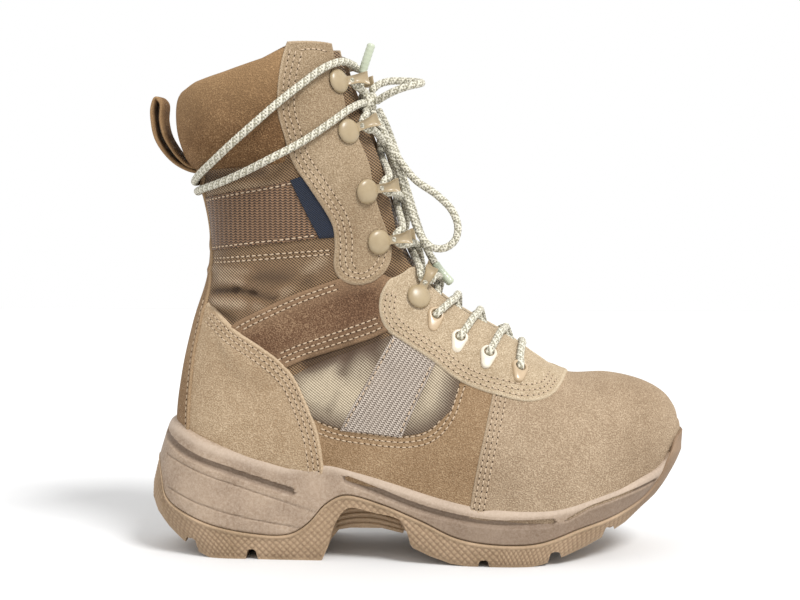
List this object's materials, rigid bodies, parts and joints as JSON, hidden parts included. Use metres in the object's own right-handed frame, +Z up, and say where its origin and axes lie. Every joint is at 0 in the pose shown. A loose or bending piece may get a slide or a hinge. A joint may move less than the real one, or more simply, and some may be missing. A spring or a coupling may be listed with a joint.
{
  "type": "combat boot",
  "caption": "Laced combat boot for the right foot, with a padded collar, pull loop, speed hooks, moulded eyelets and a lugged sole.",
  "frame": {"origin": "on the tread, under the middle of the heel", "axes": "+X from heel to toe, +Y to the inner side of the foot, +Z up"},
  "size_m": [0.2885, 0.1133, 0.2712],
  "materials": {
    "suede": "napped suede, tan",
    "nylon": "woven nylon, brown tan",
    "midsole_foam": "moulded foam with a leathery grain, tan",
    "outsole_rubber": "moulded rubber with a fine diamond texture, brown tan",
    "lining": "knitted lining, dark brown",
    "hook_paint": "satin paint, tan",
    "eyelet_plastic": "moulded, semi-gloss, pale tan",
    "lace_cord": "round braid, off-white with olive flecks"
  },
  "bodies": {
    "root": {"outsole": "outsole_rubber", "midsole": "midsole_foam", "vamp": "suede", "quarter_lateral": "suede", "quarter_medial": "suede", "shaft_lateral": "nylon", "shaft_medial": "nylon", "insole": "lining", "tongue": "nylon", "collar": "suede", "pull_loop": "suede", "hook_lateral_1": "hook_paint", "hook_lateral_2": "hook_paint", "hook_lateral_3": "hook_paint", "hook_lateral_4": "hook_paint", "hook_lateral_5": "hook_paint", "hook_medial_1": "hook_paint", "hook_medial_2": "hook_paint", "hook_medial_3": "hook_paint", "hook_medial_4": "hook_paint", "hook_medial_5": "hook_paint", "eyelet_lateral_1": "eyelet_plastic", "eyelet_lateral_2": "eyelet_plastic", "eyelet_lateral_3": "eyelet_plastic", "eyelet_lateral_4": "eyelet_plastic", "eyelet_medial_1": "eyelet_plastic", "eyelet_medial_2": "eyelet_plastic", "eyelet_medial_3": "eyelet_plastic", "eyelet_medial_4": "eyelet_plastic", "lace_crossing_1": "lace_cord", "lace_crossing_2": "lace_cord", "lace_crossing_3": "lace_cord", "lace_crossing_4": "lace_cord", "lace_crossing_5": "lace_cord", "lace_crossing_6": "lace_cord", "lace_crossing_7": "lace_cord", "lace_crossing_8": "lace_cord", "lace_crossing_9": "lace_cord", "lace_wrap_high": "lace_cord", "lace_wrap_low": "lace_cord", "lace_loop_long": "lace_cord", "lace_loop_short": "lace_cord", "lace_end_up": "lace_cord", "lace_end_down": "lace_cord", "lace_knot": "lace_cord"}
  },
  "joints": []
}
